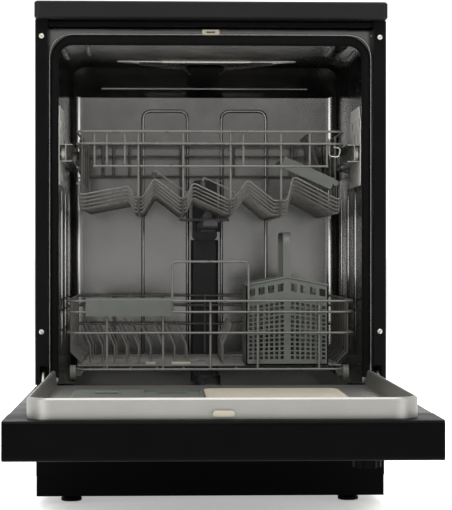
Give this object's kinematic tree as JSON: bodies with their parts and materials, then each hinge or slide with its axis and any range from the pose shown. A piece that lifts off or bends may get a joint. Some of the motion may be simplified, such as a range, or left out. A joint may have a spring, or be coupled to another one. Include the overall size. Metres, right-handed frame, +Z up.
{
  "type": "dishwasher",
  "caption": "Free-standing dishwasher, black, door folded down, stainless tub, sliding wire baskets, spray arms, cutlery basket and levelling feet",
  "frame": {"origin": "on the floor, under the middle of the machine with its door folded down", "axes": "+X to the right seen from the front, +Y to the back, +Z up"},
  "size_m": [0.598, 1.192, 0.855],
  "materials": {
    "black_laminate": "satin black laminate",
    "black_enamel": "semi-gloss black stove enamel",
    "black_abs": "semi-gloss moulded black",
    "black_polypropylene": "matt moulded black",
    "galvanised_sheet": "plain galvanised sheet",
    "stainless_tub": "bright rolled stainless steel",
    "stainless_liner": "satin stainless steel",
    "stainless_rail": "bright stainless steel",
    "zinc_steel": "bright zinc plate",
    "epdm_rubber": "matt black rubber",
    "cream_acetal": "cream moulded plastic",
    "white_acetal": "white moulded plastic",
    "grey_acetal": "grey moulded plastic",
    "grey_green_plastic": "grey-green moulded plastic",
    "grey_polypropylene": "grey moulded plastic",
    "nylon_coated_wire": "grey-beige nylon coating on steel wire"
  },
  "bodies": {
    "cabinet": {"worktop": "black_laminate", "side_panel_left": "black_enamel", "side_panel_right": "black_enamel", "back_panel": "galvanised_sheet", "top_rail": "black_enamel", "base_tray": "grey_polypropylene", "plinth": "black_abs", "tub_walls": "stainless_tub", "tub_ceiling": "stainless_tub", "tub_back": "stainless_tub", "tub_floor": "stainless_tub", "tub_flange": "stainless_tub", "gasket": "epdm_rubber", "latch_striker": "cream_acetal", "hinge_brackets": "zinc_steel", "feed_duct": "black_polypropylene", "sump": "grey_polypropylene", "coarse_filter": "stainless_tub", "pumps": "grey_polypropylene", "drain_spigot": "grey_polypropylene", "inlet_valve": "white_acetal", "mains_inlet": "black_abs"},
    "door": {"door_outer_panel": "black_enamel", "door_liner": "stainless_liner", "console": "black_abs", "hinge_arms": "zinc_steel", "dispenser_body": "grey_green_plastic"},
    "upper_rails": {"upper_rails": "stainless_rail"},
    "upper_basket": {"upper_basket_floor": "nylon_coated_wire", "upper_basket_walls": "nylon_coated_wire", "roller_brackets": "grey_green_plastic", "upper_feed_pipe": "black_polypropylene"},
    "lower_basket": {"lower_basket_floor": "nylon_coated_wire", "lower_basket_walls": "nylon_coated_wire", "basket_plate": "grey_green_plastic", "wheel_clips": "grey_acetal", "fixed_tines": "nylon_coated_wire", "cutlery_basket": "grey_green_plastic"},
    "foot_front_left": {"foot_front_left": "black_abs"},
    "foot_front_right": {"foot_front_right": "black_abs"},
    "foot_rear_left": {"foot_rear_left": "black_abs"},
    "foot_rear_right": {"foot_rear_right": "black_abs"},
    "latch_bolt": {"latch_bolt": "cream_acetal"},
    "power_button": {"power_button": "black_abs"},
    "start_button": {"start_button": "black_abs"},
    "programme_knob": {"programme_knob": "black_abs"},
    "detergent_lid": {"detergent_lid": "grey_green_plastic"},
    "rinse_cap": {"rinse_cap": "grey_green_plastic"},
    "tub_rollers_front": {"tub_rollers_front": "white_acetal"},
    "tub_rollers_rear": {"tub_rollers_rear": "white_acetal"},
    "basket_rollers_front": {"basket_rollers_front": "white_acetal"},
    "basket_rollers_rear": {"basket_rollers_rear": "white_acetal"},
    "upper_spray_arm": {"upper_spray_arm": "black_polypropylene"},
    "cup_shelf_front": {"cup_shelf_front": "grey_green_plastic"},
    "cup_shelf_rear": {"cup_shelf_rear": "grey_green_plastic"},
    "wheels_front": {"wheels_front": "grey_acetal"},
    "wheels_rear": {"wheels_rear": "grey_acetal"},
    "folding_tines": {"folding_tines": "nylon_coated_wire"},
    "lower_spray_arm": {"lower_spray_arm": "black_polypropylene"},
    "filter_cylinder": {"filter_cylinder": "grey_green_plastic"}
  },
  "joints": [
    {"name": "door_hinge", "type": "hinge", "parent": "cabinet", "child": "door", "pos_m": [0, 0.035, 0.1874], "axis": [1, 0, 0], "range_deg": [-90, 0]},
    {"name": "upper_rails_slide", "type": "slide", "parent": "cabinet", "child": "upper_rails", "axis": [0, -1, 0], "range_m": [0, 0.225]},
    {"name": "upper_basket_slide", "type": "slide", "parent": "upper_rails", "child": "upper_basket", "axis": [0, -1, 0], "range_m": [0, 0.225]},
    {"name": "lower_basket_slide", "type": "slide", "parent": "cabinet", "child": "lower_basket", "axis": [0, -1, 0], "range_m": [0, 0.5]},
    {"name": "tub_rollers_front_spin", "type": "hinge", "parent": "cabinet", "child": "tub_rollers_front", "pos_m": [0, 0.129, 0.603], "axis": [1, 0, 0], "continuous": true},
    {"name": "tub_rollers_rear_spin", "type": "hinge", "parent": "cabinet", "child": "tub_rollers_rear", "pos_m": [0, 0.243, 0.603], "axis": [1, 0, 0], "continuous": true},
    {"name": "basket_rollers_front_spin", "type": "hinge", "parent": "upper_basket", "child": "basket_rollers_front", "pos_m": [0, 0.353, 0.603], "axis": [1, 0, 0], "continuous": true},
    {"name": "basket_rollers_rear_spin", "type": "hinge", "parent": "upper_basket", "child": "basket_rollers_rear", "pos_m": [0, 0.483, 0.603], "axis": [1, 0, 0], "continuous": true},
    {"name": "wheels_front_spin", "type": "hinge", "parent": "lower_basket", "child": "wheels_front", "pos_m": [0, 0.163, 0.22015], "axis": [1, 0, 0], "continuous": true},
    {"name": "wheels_rear_spin", "type": "hinge", "parent": "lower_basket", "child": "wheels_rear", "pos_m": [0, 0.453, 0.22015], "axis": [1, 0, 0], "continuous": true},
    {"name": "upper_spray_arm_spin", "type": "hinge", "parent": "upper_basket", "child": "upper_spray_arm", "pos_m": [0, 0.3105, 0.48], "axis": [0, 0, 1], "continuous": true},
    {"name": "lower_spray_arm_spin", "type": "hinge", "parent": "cabinet", "child": "lower_spray_arm", "pos_m": [0, 0.3105, 0.196], "axis": [0, 0, 1], "continuous": true},
    {"name": "cup_shelf_front_fold", "type": "hinge", "parent": "upper_basket", "child": "cup_shelf_front", "pos_m": [0.2196, 0.213, 0.552], "axis": [0, 1, 0], "range_deg": [0, 60]},
    {"name": "cup_shelf_rear_fold", "type": "hinge", "parent": "upper_basket", "child": "cup_shelf_rear", "pos_m": [0.2196, 0.394, 0.552], "axis": [0, 1, 0], "range_deg": [-46, 14]},
    {"name": "folding_tines_fold", "type": "hinge", "parent": "lower_basket", "child": "folding_tines", "pos_m": [0.024, 0.313, 0.2372], "axis": [0, -1, 0], "range_deg": [0, 80]},
    {"name": "filter_twist", "type": "hinge", "parent": "cabinet", "child": "filter_cylinder", "pos_m": [0, 0.2455, 0.15], "axis": [0, 0, 1], "range_deg": [0, 45]},
    {"name": "detergent_lid_slide", "type": "slide", "parent": "door", "child": "detergent_lid", "axis": [0, 1, 0], "range_m": [0, 0.056]},
    {"name": "rinse_cap_twist", "type": "hinge", "parent": "door", "child": "rinse_cap", "pos_m": [-0.167, -0.297, 0.215], "axis": [0, 0, 1], "range_deg": [0, 90]},
    {"name": "latch_bolt_slide", "type": "slide", "parent": "door", "child": "latch_bolt", "axis": [0, -1, 0], "range_m": [-0.005, 0]},
    {"name": "power_button_press", "type": "slide", "parent": "door", "child": "power_button", "axis": [0, 0, 1], "range_m": [0, 0.0025], "stiffness_N_per_m": 400},
    {"name": "start_button_press", "type": "slide", "parent": "door", "child": "start_button", "axis": [0, 0, 1], "range_m": [0, 0.0025], "stiffness_N_per_m": 400},
    {"name": "programme_knob_turn", "type": "hinge", "parent": "door", "child": "programme_knob", "pos_m": [0.199, -0.538, 0.145], "axis": [0, 0, 1], "continuous": true},
    {"name": "foot_front_left_level", "type": "slide", "parent": "cabinet", "child": "foot_front_left", "axis": [0, 0, -1], "range_m": [0, 0.02]},
    {"name": "foot_front_right_level", "type": "slide", "parent": "cabinet", "child": "foot_front_right", "axis": [0, 0, -1], "range_m": [0, 0.02]},
    {"name": "foot_rear_left_level", "type": "slide", "parent": "cabinet", "child": "foot_rear_left", "axis": [0, 0, -1], "range_m": [0, 0.02]},
    {"name": "foot_rear_right_level", "type": "slide", "parent": "cabinet", "child": "foot_rear_right", "axis": [0, 0, -1], "range_m": [0, 0.02]}
  ],
  "couplings": [
    {"joint": "upper_rails_slide", "follows": "upper_basket_slide", "ratio": 1},
    {"joint": "tub_rollers_front_spin", "follows": "upper_basket_slide", "rad_per_m": 76.923},
    {"joint": "tub_rollers_rear_spin", "follows": "upper_basket_slide", "rad_per_m": 76.923},
    {"joint": "basket_rollers_front_spin", "follows": "upper_basket_slide", "rad_per_m": 76.923},
    {"joint": "basket_rollers_rear_spin", "follows": "upper_basket_slide", "rad_per_m": 76.923},
    {"joint": "wheels_front_spin", "follows": "lower_basket_slide", "rad_per_m": 76.923},
    {"joint": "wheels_rear_spin", "follows": "lower_basket_slide", "rad_per_m": 76.923}
  ]
}
